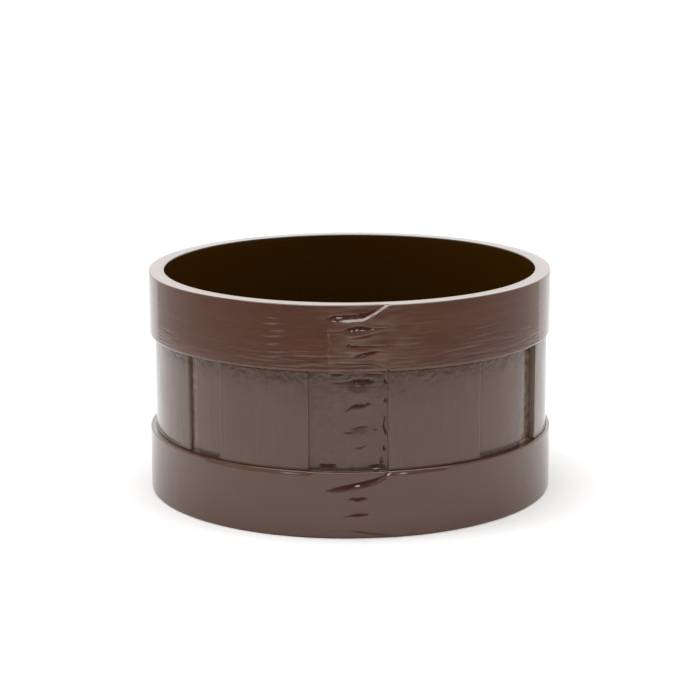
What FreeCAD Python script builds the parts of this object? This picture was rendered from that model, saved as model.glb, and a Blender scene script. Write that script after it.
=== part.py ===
"""Open bentwood vessel with two stitched hoops and applied slats, in millimetres.

Part frame: Z up, the floor under the vessel at z = 0, the vessel's axis on Z and
the stitched seams facing -Y. Angles run in degrees from the seam side towards +X.
"""
import os

import FreeCAD
import Part
import Sketcher

DRIVING_SIZES = {
    "height": 80.0,
    "bore_radius": 66.8,
    "wall_thickness": 2.5,
    "top_hoop_thickness": 3.2,
    "top_hoop_width": 22.8,
    "bottom_hoop_thickness": 3.6,
    "bottom_hoop_width": 23.0,
    "edge_round": 0.8,
    "glue_gap": 0.03,
    "base_thickness": 5.0,
    "base_recess": 1.2,
    # The lap: each band's right-hand end is thinned to a tongue over its left-hand end.
    "lap_start": -5.6,
    "lap_end": 14.0,
    "tongue_tip": 0.35,
    "tongue_slope": 3.2,
    "lap_slit": 0.05,
    "end_slit": 0.06,
    # Slats between the hoops.
    "outer_slat_lift": 0.3,
    "inner_slat_lift": 1.4,
    "inner_slat_thickness": 0.8,
    # Bark stitching.
    "bark_thickness": 0.4,
    "bark_clearance": 0.04,
    "stitch_left": -0.2,
    "stitch_right": 4.4,
    # Pegs that hold the base board.
    "peg_radius": 1.0,
    "peg_length": 8.0,
    "peg_clearance": 0.03,
}

# Start angle, arc and thickness of every slat standing proud of the wall.
OUTER_SLATS = [
    (-39.1, 27.8, 1.6),
    (10.3, 28.6, 1.7),
    (65.2, 30.8, 2.1),
    (118.7, 29.0, 1.6),
    (170.5, 29.0, 1.5),
    (222.2, 29.0, 1.6),
    (274.0, 34.3, 1.2),
]

# Start angle and arc of the thinner slats set between them.
INNER_SLATS = [
    (38.95, 20.3),
    (99.0, 19.65),
    (147.75, 20.2),
    (199.55, 20.0),
    (253.8, 20.15),
    (311.0, 9.85),
]

# Where the bark passes through each band, as shares of the height of wood it shows.
STITCH_SHARES = {
    "top": [0.175, 0.272, 0.39, 0.64],
    "wall": [0.234, 0.424, 0.655, 0.889],
    "bottom": [0.36, 0.60],
}

# Tongue edges as (angle, distance in from the hoop's upper or lower edge).
TONGUE_EDGES = {
    "top": {
        "upper": [(4.0, 4.7), (10.3, 0.0)],
        "lower": [(5.5, 3.1), (8.9, 1.9), (11.0, 0.0)],
    },
    "bottom": {
        "upper": [(2.2, 4.5), (8.3, 2.1), (10.4, 0.0)],
        "lower": [(1.6, 2.8), (10.5, 0.9), (12.5, 0.0)],
    },
}
TONGUE_TIP_INSETS = {
    "top": {"upper": 5.5, "lower": 3.2},
    "bottom": {"upper": 6.4, "lower": 3.0},
}

PEG_COUNT = 6
FIRST_PEG_ANGLE = 30.0

doc = FreeCAD.newDocument("bentwood_vessel")
sheet = doc.addObject("Spreadsheet::Sheet", "Sizes")


def write_sheet(named_values):
    """Fill the sheet: one row and one alias for every named value."""
    for row, (name, value) in enumerate(named_values.items(), 1):
        sheet.set(f"A{row}", name)
        sheet.set(f"B{row}", str(value))
        sheet.setAlias(f"B{row}", name)
    doc.recompute()


def all_sizes():
    """Every driving value under the name the expressions use."""
    named = dict(DRIVING_SIZES)
    for number, (start, arc, thickness) in enumerate(OUTER_SLATS, 1):
        named[f"outer_slat_{number}_start"] = start
        named[f"outer_slat_{number}_arc"] = arc
        named[f"outer_slat_{number}_thickness"] = thickness
    for number, (start, arc) in enumerate(INNER_SLATS, 1):
        named[f"inner_slat_{number}_start"] = start
        named[f"inner_slat_{number}_arc"] = arc
    for band, shares in STITCH_SHARES.items():
        for number, share in enumerate(shares, 1):
            named[f"{band}_stitch_{number}"] = share
    for band, edges in TONGUE_EDGES.items():
        for edge, points in edges.items():
            named[f"{band}_{edge}_tip_inset"] = TONGUE_TIP_INSETS[band][edge]
            for number, (angle, inset) in enumerate(points, 1):
                named[f"{band}_{edge}_{number}_angle"] = angle
                named[f"{band}_{edge}_{number}_inset"] = inset
    return named


write_sheet(all_sizes())

# Radii and heights written over the sheet.
WALL_OUTSIDE = "(Sizes.bore_radius + Sizes.wall_thickness)"
GLUED_ON_WALL = f"({WALL_OUTSIDE} + Sizes.glue_gap)"
TOP_OUTSIDE = f"({GLUED_ON_WALL} + Sizes.top_hoop_thickness)"
BOTTOM_OUTSIDE = f"({GLUED_ON_WALL} + Sizes.bottom_hoop_thickness)"
BOTTOM_EDGE = "Sizes.bottom_hoop_width"
TOP_EDGE = "(Sizes.height - Sizes.top_hoop_width)"
MIDDLE_HEIGHT = f"({TOP_EDGE} - {BOTTOM_EDGE})"


def value_of(expression):
    """The present value of an expression written over the sheet."""
    value = sheet.evalExpression(expression)
    return float(getattr(value, "Value", value))


def bind(thing, path, expression):
    """Tie a property to an expression."""
    thing.setExpression(path, expression)


def new_body(name):
    """A body whose label becomes its file name."""
    body = doc.addObject("PartDesign::Body", name)
    body.Label = name
    return body


def origin_plane(body, role):
    """The body's own origin plane with the given role."""
    for feature in body.Origin.OriginFeatures:
        if feature.Role == role:
            return feature
    raise LookupError(role)


def draw_outline(sketch, corners):
    """Draw a closed polygon and hold every corner by expressions (across, up)."""
    points = [FreeCAD.Vector(value_of(across), value_of(up), 0) for across, up in corners]
    count = len(points)
    for index in range(count):
        sketch.addGeometry(Part.LineSegment(points[index], points[(index + 1) % count]))
    for index in range(count):
        following = (index + 1) % count
        sketch.addConstraint(Sketcher.Constraint("Coincident", index, 2, following, 1))
    for index, (across, up) in enumerate(corners):
        for kind, expression, axis in (("DistanceX", across, "across"), ("DistanceY", up, "up")):
            datum = Sketcher.Constraint(kind, -1, 1, index, 1, value_of(expression))
            number = sketch.addConstraint(datum)
            sketch.renameConstraint(number, f"{axis}_{index}")
            bind(sketch, f"Constraints.{axis}_{index}", expression)


def turned_section(body, name, angle, corners):
    """A polygon on the body's XZ plane, turned about the vertical by an expression."""
    sketch = body.newObject("Sketcher::SketchObject", f"{name}_section")
    sketch.AttachmentSupport = [(origin_plane(body, "XZ_Plane"), "")]
    sketch.MapMode = "FlatFace"
    turn = FreeCAD.Rotation(FreeCAD.Vector(0, 1, 0), 1)
    sketch.AttachmentOffset = FreeCAD.Placement(FreeCAD.Vector(), turn)
    bind(sketch, ".AttachmentOffset.Rotation.Angle", f"({angle}) * 1 deg")
    draw_outline(sketch, corners)
    return sketch


def sector(body, name, radii, heights, angles):
    """Sweep a rectangular section between two angles; every value is an expression."""
    inner, outer = radii
    low, high = heights
    start, end = angles
    corners = [(inner, low), (outer, low), (outer, high), (inner, high)]
    feature = body.newObject("PartDesign::Revolution", name)
    sketch = turned_section(body, name, f"({start}) - 90", corners)
    feature.Profile = sketch
    feature.ReferenceAxis = (sketch, ["V_Axis"])
    bind(feature, "Angle", f"(({end}) - ({start})) * 1 deg")
    doc.recompute()
    return feature


def round_edges(body, base, radius_expression, wanted):
    """Round the circular edges of `base` lying at the wanted (radius, height) pairs."""
    places = [(value_of(radius), value_of(height)) for radius, height in wanted]
    names = []
    for number, edge in enumerate(base.Shape.Edges, 1):
        if not isinstance(edge.Curve, Part.Circle):
            continue
        found = (edge.Curve.Radius, edge.Curve.Center.z)
        if any(abs(found[0] - r) < 1e-4 and abs(found[1] - z) < 1e-4 for r, z in places):
            names.append(f"Edge{number}")
    feature = body.newObject("PartDesign::Fillet", f"{body.Name}_rounding")
    feature.Base = (base, names)
    bind(feature, "Radius", radius_expression)
    doc.recompute()
    return feature


def cylinder(name, radius, low, high, start="0", arc="360", centre=("0", "0")):
    """A wedge of a cylinder, every value an expression."""
    solid = doc.addObject("Part::Cylinder", name)
    bind(solid, "Radius", radius)
    bind(solid, "Height", f"({high}) - ({low})")
    bind(solid, "Angle", f"({arc}) * 1 deg")
    turn = FreeCAD.Rotation(FreeCAD.Vector(0, 0, 1), 1)
    solid.Placement = FreeCAD.Placement(FreeCAD.Vector(), turn)
    bind(solid, ".Placement.Rotation.Angle", f"({start} - 90) * 1 deg")
    bind(solid, ".Placement.Base.x", centre[0])
    bind(solid, ".Placement.Base.y", centre[1])
    bind(solid, ".Placement.Base.z", low)
    return solid


def subtract(name, base, tool):
    """Base with the tool taken away."""
    result = doc.addObject("Part::Cut", name)
    result.Label = name
    result.Base = base
    result.Tool = tool
    doc.recompute()
    return result


def overlap(name, first, second):
    """What two solids share."""
    result = doc.addObject("Part::Common", name)
    result.Base = first
    result.Tool = second
    return result


def together(name, solids):
    """One tool made of several solids."""
    result = doc.addObject("Part::MultiFuse", name)
    result.Shapes = solids
    return result


def front_prism(name, outside, corners):
    """Extrude an outline seen from the seam side; corners are (angle, height) expressions."""
    sketch = doc.addObject("Sketcher::SketchObject", f"{name}_outline")
    upright = FreeCAD.Rotation(FreeCAD.Vector(1, 0, 0), 90)
    sketch.Placement = FreeCAD.Placement(FreeCAD.Vector(), upright)
    draw_outline(sketch, [(f"{outside} * sin({angle})", height) for angle, height in corners])
    prism = doc.addObject("Part::Extrusion", name)
    prism.Base = sketch
    prism.DirMode = "Custom"
    prism.Dir = FreeCAD.Vector(0, -1, 0)
    prism.Solid = True
    bind(prism, "LengthFwd", f"{outside} + 10")
    return prism


def lap_centre():
    """Centre of the eccentric cylinder that carries the slope of the lap."""
    middle = "((Sizes.lap_start + Sizes.lap_end) / 2)"
    return (f"-Sizes.tongue_slope * cos({middle})", f"-Sizes.tongue_slope * sin({middle})")


def lap_radius(outside):
    """Radius of that cylinder: the tongue's thickness at mid lap is taken off the outside."""
    half_arc = "((Sizes.lap_end - Sizes.lap_start) / 2 * pi / 180)"
    mid_tongue = f"(Sizes.tongue_tip + Sizes.tongue_slope * {half_arc})"
    lift = f"(Sizes.tongue_slope ^ 2 / 2 / {outside})"
    return f"({outside} - {mid_tongue} + {lift})"


def lap_cuts(name, outside, low, high):
    """The sloping slit between tongue and tail, and the slits at both of their ends."""
    centre = lap_centre()
    radius = lap_radius(outside)
    arc = "Sizes.lap_end - Sizes.lap_start"
    inside = cylinder(f"{name}_slope_inside", radius, low, high, centre=centre)
    outer = cylinder(f"{name}_slope_outside", f"{radius} + Sizes.lap_slit", low, high, centre=centre)
    shell = subtract(f"{name}_slope_shell", outer, inside)
    wedge = cylinder(f"{name}_lap_wedge", f"{outside} + 5", low, high, "Sizes.lap_start", arc)
    slope = overlap(f"{name}_slope_slit", shell, wedge)
    tip_wedge = cylinder(
        f"{name}_tip_wedge",
        f"{outside} + 5",
        low,
        high,
        "Sizes.lap_start - Sizes.end_slit",
        "Sizes.end_slit",
    )
    tip = subtract(f"{name}_tip_slit", tip_wedge, inside)
    tail_wedge = cylinder(
        f"{name}_tail_wedge",
        f"{outside} + 5",
        low,
        high,
        "Sizes.lap_end",
        "Sizes.end_slit",
    )
    tail = overlap(f"{name}_tail_slit", tail_wedge, outer)
    return [slope, tip, tail], inside


def tongue_trims(name, outside, low, high, inside):
    """The wood pared away above and below a hoop's tongue, down to the tail under it."""
    trims = []
    for edge, border, sign in (("upper", high, "-"), ("lower", low, "+")):
        beyond = f"({border}) - ({sign}2)"
        corners = [("Sizes.lap_start", beyond)]
        corners.append(("Sizes.lap_start", f"({border}) {sign} Sizes.{name}_{edge}_tip_inset"))
        for number in range(1, len(TONGUE_EDGES[name][edge]) + 1):
            label = f"Sizes.{name}_{edge}_{number}"
            corners.append((f"{label}_angle", f"({border}) {sign} {label}_inset"))
        corners.append((corners[-1][0], beyond))
        prism = front_prism(f"{name}_{edge}_waste", outside, corners)
        trims.append(subtract(f"{name}_{edge}_trim", prism, inside))
    return trims


def lacing(name, inner, outer, heights, clearance="0"):
    """A bark strip run up a lap through level slits: over the wood, then under it, in turn."""
    body = new_body(name)
    turn = f"({clearance} / {outer} * 180 / pi)"
    width = (f"Sizes.stitch_left - {turn}", f"Sizes.stitch_right + {turn}")
    half = f"(Sizes.bark_thickness / 2 + {clearance})"
    over = (f"{outer} - {clearance}", f"{outer} + Sizes.bark_thickness + {clearance}")
    under = (f"{inner} - {clearance}", f"{inner} + Sizes.bark_thickness + {clearance}")
    for index, height in enumerate(heights):
        slit = (f"{height} - {half}", f"{height} + {half}")
        sector(body, f"{name}_through_{index}", (under[0], over[1]), slit, width)
        if index + 1 < len(heights):
            run = (slit[0], f"{heights[index + 1]} + {half}")
            sector(body, f"{name}_run_{index}", over if index % 2 == 0 else under, run, width)
    return body


def lapped_band(name, short_name, radii, heights, rounded, stitches):
    """A bent band whose stitched ends overlap at the seam; returns band and lacing."""
    inner, outer = radii
    low, high = heights
    ring = new_body(f"{name}_ring")
    base = sector(ring, f"{name}_sweep", radii, heights, ("0", "360"))
    round_edges(ring, base, "Sizes.edge_round", rounded)
    cuts, inside = lap_cuts(short_name, outer, f"({low}) - 3", f"({high}) + 3")
    if short_name in TONGUE_EDGES:
        cuts += tongue_trims(short_name, outer, low, high, inside)
    cuts.append(lacing(f"{name}_bark_slots", inner, outer, stitches, "Sizes.bark_clearance"))
    band = subtract(name, ring, together(f"{name}_cuts", cuts))
    bark = lacing(f"{name}_bark_lacing", inner, outer, stitches)
    return band, bark


def stitch_heights(band, low, extent):
    """Heights of one band's stitches as expressions."""
    count = len(STITCH_SHARES[band])
    return [f"({low} + Sizes.{band}_stitch_{number} * {extent})" for number in range(1, count + 1)]


pieces = []

top_band = lapped_band(
    "top_hoop",
    "top",
    (GLUED_ON_WALL, TOP_OUTSIDE),
    (TOP_EDGE, "Sizes.height"),
    [(TOP_OUTSIDE, TOP_EDGE), (TOP_OUTSIDE, "Sizes.height")],
    stitch_heights("top", TOP_EDGE, "Sizes.top_hoop_width"),
)
bottom_band = lapped_band(
    "bottom_hoop",
    "bottom",
    (GLUED_ON_WALL, BOTTOM_OUTSIDE),
    ("0", BOTTOM_EDGE),
    [(BOTTOM_OUTSIDE, "0"), (BOTTOM_OUTSIDE, BOTTOM_EDGE)],
    stitch_heights("bottom", "0", "Sizes.bottom_hoop_width"),
)
wall_band = lapped_band(
    "core_wall",
    "wall",
    ("Sizes.bore_radius", WALL_OUTSIDE),
    ("0", "Sizes.height"),
    [("Sizes.bore_radius", "Sizes.height")],
    stitch_heights("wall", BOTTOM_EDGE, MIDDLE_HEIGHT),
)
pieces.extend(top_band)
pieces.extend(bottom_band)

BASE_MIDDLE = "(Sizes.base_recess + Sizes.base_thickness / 2)"


def peg(name, number, radius, low, high):
    """One radial peg or its hole, between two radii."""
    solid = doc.addObject("Part::Cylinder", f"{name}_{number}")
    angle = FIRST_PEG_ANGLE + 360.0 * number / PEG_COUNT
    outward = FreeCAD.Rotation(FreeCAD.Vector(0, 0, 1), angle)
    lying = FreeCAD.Rotation(FreeCAD.Vector(0, 1, 0), 90)
    solid.Placement = FreeCAD.Placement(FreeCAD.Vector(), outward.multiply(lying))
    bind(solid, "Radius", radius)
    bind(solid, "Height", f"({high}) - ({low})")
    bind(solid, ".Placement.Base.x", f"({low}) * cos({angle})")
    bind(solid, ".Placement.Base.y", f"({low}) * sin({angle})")
    bind(solid, ".Placement.Base.z", BASE_MIDDLE)
    return solid


def ring_of_pegs(name, radius, low, high):
    """The full set of pegs or holes as one group."""
    group = doc.addObject("Part::Compound", name)
    group.Label = name
    group.Links = [peg(name, number, radius, low, high) for number in range(PEG_COUNT)]
    doc.recompute()
    return group


PEG_INNER_END = f"({WALL_OUTSIDE} - Sizes.peg_length)"
HOLE_RADIUS = "Sizes.peg_radius + Sizes.peg_clearance"
board_ring = new_body("base_board_disc")
sector(
    board_ring,
    "board_sweep",
    ("0", "Sizes.bore_radius - Sizes.glue_gap"),
    ("Sizes.base_recess", "Sizes.base_recess + Sizes.base_thickness"),
    ("0", "360"),
)
HOLE_INNER_END = f"{PEG_INNER_END} - Sizes.peg_clearance"
peg_holes = ring_of_pegs("peg_holes", HOLE_RADIUS, HOLE_INNER_END, f"{WALL_OUTSIDE} + 1")
pieces.append(subtract("base_board", board_ring, peg_holes))
pieces.append(ring_of_pegs("base_pegs", "Sizes.peg_radius", PEG_INNER_END, WALL_OUTSIDE))
wall, wall_lacing = wall_band
wall.Label = "core_wall_unpegged"
drilled_wall = subtract("core_wall_drilled", wall, peg_holes)
drilled_wall.Label = "core_wall"
pieces.append(drilled_wall)
pieces.append(wall_lacing)


def slat(name, thickness, lift):
    """One applied slat between the hoops; its start and arc are named after it in the sheet."""
    body = new_body(name)
    radii = (GLUED_ON_WALL, f"{GLUED_ON_WALL} + {thickness}")
    heights = (f"{BOTTOM_EDGE} + {lift}", f"{TOP_EDGE} - Sizes.glue_gap")
    angles = (f"Sizes.{name}_start", f"Sizes.{name}_start + Sizes.{name}_arc")
    sector(body, f"{name}_sweep", radii, heights, angles)
    return body


for number in range(1, len(OUTER_SLATS) + 1):
    name = f"outer_slat_{number}"
    pieces.append(slat(name, f"Sizes.{name}_thickness", "Sizes.outer_slat_lift"))
for number in range(1, len(INNER_SLATS) + 1):
    name = f"inner_slat_{number}"
    pieces.append(slat(name, "Sizes.inner_slat_thickness", "Sizes.inner_slat_lift"))

doc.recompute()
for thing in doc.Objects:
    if "Invalid" in thing.State or "Error" in thing.State:
        raise RuntimeError(f"{thing.Label} did not rebuild: {thing.State}")
os.makedirs("parts", exist_ok=True)
for piece in pieces:
    if piece.Shape.isNull() or not piece.Shape.isValid():
        raise RuntimeError(f"{piece.Label} has no valid shape")
    piece.Shape.exportStep(f"parts/{piece.Label}.step")
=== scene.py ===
import math

import bpy
import numpy as np
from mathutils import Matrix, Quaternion, Vector, noise


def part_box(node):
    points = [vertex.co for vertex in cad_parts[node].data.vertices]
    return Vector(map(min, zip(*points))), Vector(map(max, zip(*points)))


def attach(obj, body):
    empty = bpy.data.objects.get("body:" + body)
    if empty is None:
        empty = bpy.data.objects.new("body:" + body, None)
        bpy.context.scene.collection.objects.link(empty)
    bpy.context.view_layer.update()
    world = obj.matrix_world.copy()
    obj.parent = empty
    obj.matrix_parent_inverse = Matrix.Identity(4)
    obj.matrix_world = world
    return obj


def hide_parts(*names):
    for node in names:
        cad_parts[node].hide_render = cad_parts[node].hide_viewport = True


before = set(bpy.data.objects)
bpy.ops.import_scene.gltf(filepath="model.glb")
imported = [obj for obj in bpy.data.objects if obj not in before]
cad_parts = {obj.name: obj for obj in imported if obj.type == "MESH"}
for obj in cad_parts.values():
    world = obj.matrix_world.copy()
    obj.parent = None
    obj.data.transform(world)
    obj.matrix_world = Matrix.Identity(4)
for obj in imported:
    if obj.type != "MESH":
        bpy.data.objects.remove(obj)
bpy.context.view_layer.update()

MM = 0.001
ROOT = "root"
OUTER_SLAT_NODES = [f"outer_slat_{number}" for number in range(1, 8)]
INNER_SLAT_NODES = [f"inner_slat_{number}" for number in range(1, 7)]

# Sizes read from the frame, in millimetres.
RIM_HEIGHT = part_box("top_hoop")[1].z / MM
TOP_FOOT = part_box("top_hoop")[0].z / MM
BOTTOM_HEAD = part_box("bottom_hoop")[1].z / MM
TOP_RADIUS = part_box("top_hoop")[1].x / MM
BOTTOM_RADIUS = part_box("bottom_hoop")[1].x / MM
WALL_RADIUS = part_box("core_wall")[1].x / MM
BOARD_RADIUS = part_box("base_board")[1].x / MM
GLUE_GAP = 0.03
BORE_RADIUS = BOARD_RADIUS + GLUE_GAP

# Start angle, arc and thickness of each slat, as in the part's source.
OUTER_SLATS = [
    (-39.1, 27.8, 1.6),
    (10.3, 28.6, 1.7),
    (65.2, 30.8, 2.1),
    (118.7, 29.0, 1.6),
    (170.5, 29.0, 1.5),
    (222.2, 29.0, 1.6),
    (274.0, 34.3, 1.2),
]
INNER_SLATS = [
    (38.95, 20.3, 0.8),
    (99.0, 19.65, 0.8),
    (147.75, 20.2, 0.8),
    (199.55, 20.0, 0.8),
    (253.8, 20.15, 0.8),
    (311.0, 9.85, 0.8),
]
# Angle of the tongues' tips, the bark's sides (degrees) and its thickness (mm).
LAP_START = -5.6
BARK_LEFT, BARK_RIGHT = -0.2, 4.4
BARK_THICKNESS = 0.4


# ---------------------------------------------------------------- node graphs


class Value:
    """The value of a socket; arithmetic on it adds Math nodes to its graph."""

    def __init__(self, graph, socket):
        self.graph = graph
        self.socket = socket

    def other(self, name):
        """Another output of the node this value comes from."""
        return Value(self.graph, self.socket.node.outputs[name])

    def maths(self, operation, *terms):
        """A Math node over the given terms, or over this value alone."""
        terms = dict(enumerate(terms or (self,)))
        return self.graph.node("ShaderNodeMath", {"operation": operation}, terms)

    def between(self, low, high):
        """0 below low, 1 above high, eased in between."""
        return self.graph.node(
            "ShaderNodeMapRange",
            {"interpolation_type": "SMOOTHSTEP"},
            {"Value": self, "From Min": low, "From Max": high},
        )

    def __add__(self, other):
        return self.maths("ADD", self, other)

    __radd__ = __add__

    def __sub__(self, other):
        return self.maths("SUBTRACT", self, other)

    def __rsub__(self, other):
        return self.maths("SUBTRACT", other, self)

    def __mul__(self, other):
        return self.maths("MULTIPLY", self, other)

    __rmul__ = __mul__

    def __truediv__(self, other):
        return self.maths("DIVIDE", self, other)

    def __rtruediv__(self, other):
        return self.maths("DIVIDE", other, self)

    def __pow__(self, other):
        return self.maths("POWER", self, other)


class Graph:
    """A node tree under construction."""

    def __init__(self, tree):
        self.tree = tree
        tree.nodes.clear()

    def node(self, kind, settings=None, inputs=None, output=0):
        """Add a node: settings first, then the values or links of its sockets."""
        made = self.tree.nodes.new(kind)
        for name, value in (settings or {}).items():
            setattr(made, name, value)
        for key, value in (inputs or {}).items():
            if isinstance(value, Value):
                self.tree.links.new(value.socket, made.inputs[key])
            else:
                made.inputs[key].default_value = value
        return Value(self, made.outputs[output]) if made.outputs else made

    def mix(self, share, first, second):
        """Blend two colours."""
        colours = [(*c, 1.0) if isinstance(c, tuple) else c for c in (first, second)]
        return self.node(
            "ShaderNodeMix",
            {"data_type": "RGBA"},
            {0: share, 6: colours[0], 7: colours[1]},
            output=2,
        )

    def noise(self, place, stretch, detail=3.0, roughness=0.5, distortion=0.0):
        """Noise whose pitch along x, y and z is given in millimetres."""
        scale = tuple(1.0 / (pitch * MM) for pitch in stretch)
        spread = self.node("ShaderNodeMapping", inputs={"Vector": place, "Scale": scale})
        sockets = {
            "Vector": spread,
            "Scale": 1.0,
            "Detail": detail,
            "Roughness": roughness,
            "Distortion": distortion,
        }
        return self.node("ShaderNodeTexNoise", inputs=sockets)

    def attribute(self, name):
        """A number stored on the piece's vertices."""
        return self.node("ShaderNodeAttribute", {"attribute_name": name}, output="Fac")


# ------------------------------------------------------------------ materials


def new_material(name):
    """A material and its empty graph."""
    material = bpy.data.materials.new(name)
    material.use_nodes = True
    return material, Graph(material.node_tree)


def surface(graph, shader, inputs):
    """Give a material its shader."""
    shader = graph.node(shader, inputs=inputs)
    graph.node("ShaderNodeOutputMaterial", inputs={"Surface": shader})


def tinted(colour, tint):
    return tuple(part * share for part, share in zip(colour, tint))


# What the coat's colour is multiplied by where it lies thin, where it lies thick or takes painted
# shade, where it is worn, and where it is rubbed bare or takes painted reflection.
THIN_TINT = (1.55, 1.55, 1.55)
THICK_AND_SHADED_TINT = (0.50, 0.58, 0.38)
WORN_TINT = (1.3, 1.3, 1.2)
BARE_AND_SHEEN_TINT = (2.3, 3.9, 5.0)
LACQUER_IOR = 1.53


def lacquer(name, coat, pooled_and_shaded, gloss, grain, grain_depth, streaks=0.3, inner=None):
    """Wiped lacquer over wood: a dark coat with faint grain, brush waves and pooled places, with
    painted shade in the pools and in mottled bands, and lighter bare places that are partly
    painted reflection.

    coat, the pooled colour and inner are colours, inner for the faces inside the vessel;
    the pooled colour is pooled coat, darkened as painted shade in hollows; gloss is (roughness,
    its spread);
    grain is the grain's pitch along x, y and z in millimetres; grain_depth is its relief in
    metres; streaks is how much of the grain shows as colour.
    """
    material, g = new_material(name)
    place = g.node("ShaderNodeTexCoord", output="Object")
    streak = g.noise(place, grain, detail=4.0, roughness=0.6, distortion=0.4)
    broad = g.noise(place, tuple(5.0 * pitch for pitch in grain), detail=2.0)
    cloud = g.noise(place, (14.0, 14.0, 9.0), detail=3.0)
    mottle = g.noise(place, (2.6, 2.6, 1.8), detail=4.0, roughness=0.65)
    peel = g.noise(place, (1.5, 1.5, 1.2), detail=2.0, roughness=0.4)
    edge = g.attribute("edge")
    pool_and_shade = g.attribute("pool_and_shade")
    shade = g.attribute("shade")
    inside = g.attribute("inside")
    bare_and_sheen = g.attribute("bare_and_sheen")

    light_share = (streak.between(0.45, 0.70) * 0.6 + broad.between(0.45, 0.62) * 0.4) * streaks
    dark_share = cloud.between(0.50, 0.75) * 0.35 * streaks
    # Painted shade: where the shade mark lies, the coat darkens in mottles towards the thick tint.
    dark_share = dark_share + shade * mottle.between(0.42, 0.62) * 0.9
    colour = g.mix(light_share, coat, tinted(coat, THIN_TINT))
    colour = g.mix(dark_share, colour, tinted(coat, THICK_AND_SHADED_TINT))
    colour = g.mix(edge * 0.22, colour, tinted(coat, WORN_TINT))
    # Bare places, lightened partly as painted reflection.
    colour = g.mix(bare_and_sheen, colour, tinted(coat, BARE_AND_SHEEN_TINT))
    # Pooled coat, darkened as painted shade in the hollows.
    colour = g.mix(pool_and_shade, colour, pooled_and_shaded)
    if inner:
        colour = g.mix(inside, colour, inner)

    rough = gloss[0] + (cloud - 0.5) * gloss[1] + (streak - 0.5) * gloss[1] * 0.6
    rough = (rough + shade * (mottle - 0.4) * 0.35 + bare_and_sheen * 0.15) * (1.0 - 0.45 * pool_and_shade)

    relief = (streak - 0.5) + (peel - 0.5) * 0.30 + shade * (mottle - 0.5) * 2.5
    relief = relief * (1.0 - 0.6 * pool_and_shade)
    bump = {"Height": relief, "Distance": grain_depth, "Strength": 1.0}
    coating = {
        "Base Color": colour,
        "Roughness": rough,
        "Normal": g.node("ShaderNodeBump", inputs=bump),
        "IOR": LACQUER_IOR,
    }
    surface(g, "ShaderNodeBsdfPrincipled", coating)
    return material


def peg_wood():
    """Bare split wood for the pegs hidden in the foot."""
    material, g = new_material("peg_wood")
    place = g.node("ShaderNodeTexCoord", output="Object")
    fibre = g.noise(place, (2.0, 2.0, 0.3), detail=4.0)
    colour = g.mix(fibre, (0.30, 0.19, 0.09), (0.52, 0.38, 0.22))
    surface(g, "ShaderNodeBsdfPrincipled", {"Base Color": colour, "Roughness": 0.45 + fibre * 0.3})
    return material


HOOP_LACQUER = lacquer(
    "hoop_lacquer",
    coat=(0.066, 0.0245, 0.0135),
    pooled_and_shaded=(0.046, 0.0078, 0.0020),
    gloss=(0.10, 0.05),
    grain=(18.0, 18.0, 1.2),
    grain_depth=0.00003,
    streaks=0.50,
)
FOOT_LACQUER = lacquer(
    "foot_lacquer",
    coat=(0.066, 0.0295, 0.0170),
    pooled_and_shaded=(0.046, 0.0085, 0.0045),
    gloss=(0.15, 0.04),
    grain=(22.0, 22.0, 2.4),
    grain_depth=0.000010,
    streaks=0.15,
)
SLAT_LACQUER = lacquer(
    "slat_lacquer",
    coat=(0.064, 0.0300, 0.0170),
    pooled_and_shaded=(0.050, 0.0125, 0.0072),
    gloss=(0.15, 0.06),
    grain=(1.1, 1.1, 16.0),
    grain_depth=0.00004,
    streaks=0.30,
)
WALL_LACQUER = lacquer(
    "wall_lacquer",
    coat=(0.066, 0.0285, 0.0165),
    pooled_and_shaded=(0.031, 0.0100, 0.0012),
    gloss=(0.14, 0.06),
    grain=(14.0, 14.0, 1.4),
    grain_depth=0.00002,
    streaks=0.25,
    inner=(0.030, 0.0120, 0.0004),
)
BARK_LACQUER = lacquer(
    "bark_lacquer",
    coat=(0.060, 0.0200, 0.0105),
    pooled_and_shaded=(0.050, 0.0125, 0.0072),
    gloss=(0.14, 0.05),
    grain=(3.0, 3.0, 0.5),
    grain_depth=0.00002,
)
BOARD_LACQUER = lacquer(
    "board_lacquer",
    coat=(0.036, 0.0140, 0.0020),
    pooled_and_shaded=(0.050, 0.0125, 0.0072),
    gloss=(0.16, 0.06),
    grain=(30.0, 2.2, 30.0),
    grain_depth=0.00002,
)
PEG_WOOD = peg_wood()


# ------------------------------------------------------------------- surfaces


# How far apart in the noise two seeds lie.
SEED_SHIFT = (17.0, -31.0, 47.0)


def unevenness(angles, heights, radius, pitch, seed):
    """Seamless noise on a band, -1 to 1; pitch is (round the band, up it) in millimetres."""
    columns, rows = np.broadcast_arrays(angles, heights)
    turn = np.radians(columns)
    spots = np.stack(
        [
            radius / pitch[0] * np.sin(turn) + SEED_SHIFT[0] * seed,
            radius / pitch[0] * np.cos(turn) + SEED_SHIFT[1] * seed,
            rows / pitch[1] + SEED_SHIFT[2] * seed,
        ],
        axis=-1,
    )
    values = [noise.noise(Vector(spot)) for spot in spots.reshape(-1, 3).tolist()]
    return np.array(values).reshape(columns.shape)


def step(values, soft):
    """0 well below zero, 1 well above, rising over about four times `soft`."""
    return 0.5 + 0.5 * np.tanh(values / soft)


def ease(values, low, high):
    """0 below low, 1 above high, eased in between."""
    share = np.clip((values - low) / (high - low), 0.0, 1.0)
    return share * share * (3.0 - 2.0 * share)


def arc_mm(angles, radius):
    """Distance round the band from the seam's middle, in millimetres."""
    return np.radians(angles) * radius


def seam_columns(coarse, fine, left, right):
    """Angles round a band, close together between left and right."""
    near = np.arange(left, right, fine)
    far = np.linspace(right, left + 360.0, int((360.0 - right + left) / coarse), endpoint=False)
    return np.concatenate([near, far])


ROUNDING_ROWS = 9
# A step so small that it doesn't show; it keeps two rows apart at a sharp change.
HAIR = 0.02


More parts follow.
